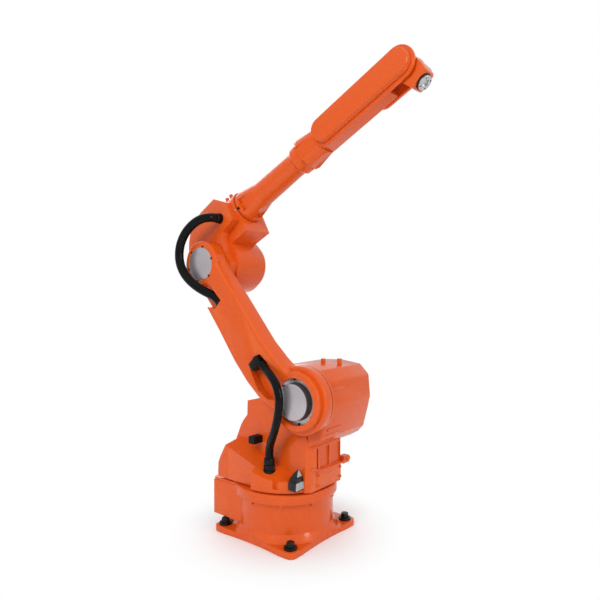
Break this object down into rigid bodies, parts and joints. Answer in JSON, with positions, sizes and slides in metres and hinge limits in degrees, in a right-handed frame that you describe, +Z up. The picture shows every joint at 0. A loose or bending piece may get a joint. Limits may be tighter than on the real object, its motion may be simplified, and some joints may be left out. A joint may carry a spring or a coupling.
{
  "type": "six axis industrial robot arm",
  "caption": "Floor-mounted industrial robot arm: turning waist, leaning lower arm, elbow, long slim forearm and bending wrist with a tool flange, linked by black hoses.",
  "frame": {"origin": "centre of the foot's underside, on the waist's axis, at floor level", "axes": "+Z up along the waist's axis, +X the way the arm reaches, the round white joint caps face -Y"},
  "size_m": [1.0721, 0.4474, 1.7084],
  "materials": {
    "paint": "glossy orange machine paint",
    "black_steel": "black oxide steel",
    "rubber": "matt black rubber",
    "fitting": "black moulded nylon",
    "gloss_black": "glossy black",
    "hose": "smooth black rubber hose",
    "grey_cap": "satin light grey paint",
    "steel": "machined steel",
    "plate": "dark grey painted plate"
  },
  "bodies": {
    "base": {"base_casting": "paint", "connector_box": "paint", "connector_plate": "plate", "foot_washers": "black_steel"},
    "waist": {"waist_casting": "paint", "motor_housing": "paint", "motor_cap": "paint", "turn_motor_cover": "paint", "front_cover": "paint", "rear_stop": "rubber", "dome_stop": "gloss_black", "lower_gland": "fitting", "lifting_studs": "paint"},
    "lower_arm": {"lower_arm": "paint", "shoulder_flange": "grey_cap", "shoulder_cap": "grey_cap", "elbow_cap": "grey_cap", "arm_hose_fitting": "fitting", "arm_hose_socket": "fitting", "lower_hose": "hose", "upper_hose": "hose"},
    "elbow": {"elbow_housing": "paint", "elbow_motor_cover": "paint", "elbow_gland": "fitting", "elbow_plugs": "steel"},
    "forearm": {"forearm_tube": "paint", "wrist_housing": "paint", "wrist_rim": "paint", "wrist_cover": "paint", "wrist_far_cheek": "paint"},
    "wrist": {"tilt_housing": "paint"},
    "tool": {"tool_flange": "steel"}
  },
  "joints": [
    {"name": "waist_turn", "type": "hinge", "parent": "base", "child": "waist", "pos_m": [0, 0, 0.193], "axis": [0, 0, 1], "range_deg": [-170, 170]},
    {"name": "shoulder_swing", "type": "hinge", "parent": "waist", "child": "lower_arm", "pos_m": [0.178, 0, 0.536], "axis": [0, 1, 0], "range_deg": [-35, 90], "deforming": ["lower_hose"]},
    {"name": "elbow_swing", "type": "hinge", "parent": "lower_arm", "child": "elbow", "pos_m": [-0.31697, 0, 1.03097], "axis": [0, -1, 0], "range_deg": [-65, 90], "deforming": ["upper_hose"]},
    {"name": "forearm_roll", "type": "hinge", "parent": "elbow", "child": "forearm", "pos_m": [-0.20874, 0, 1.26407], "axis": [0.8829, 0, 0.4695], "range_deg": [-180, 180]},
    {"name": "wrist_bend", "type": "hinge", "parent": "forearm", "child": "wrist", "pos_m": [0.51969, 0, 1.65139], "axis": [0, 1, 0], "range_deg": [-187, 43]},
    {"name": "tool_turn", "type": "hinge", "parent": "wrist", "child": "tool", "pos_m": [0.59163, 0, 1.58192], "axis": [0.7193, 0, -0.6947], "range_deg": [-200, 200]}
  ]
}
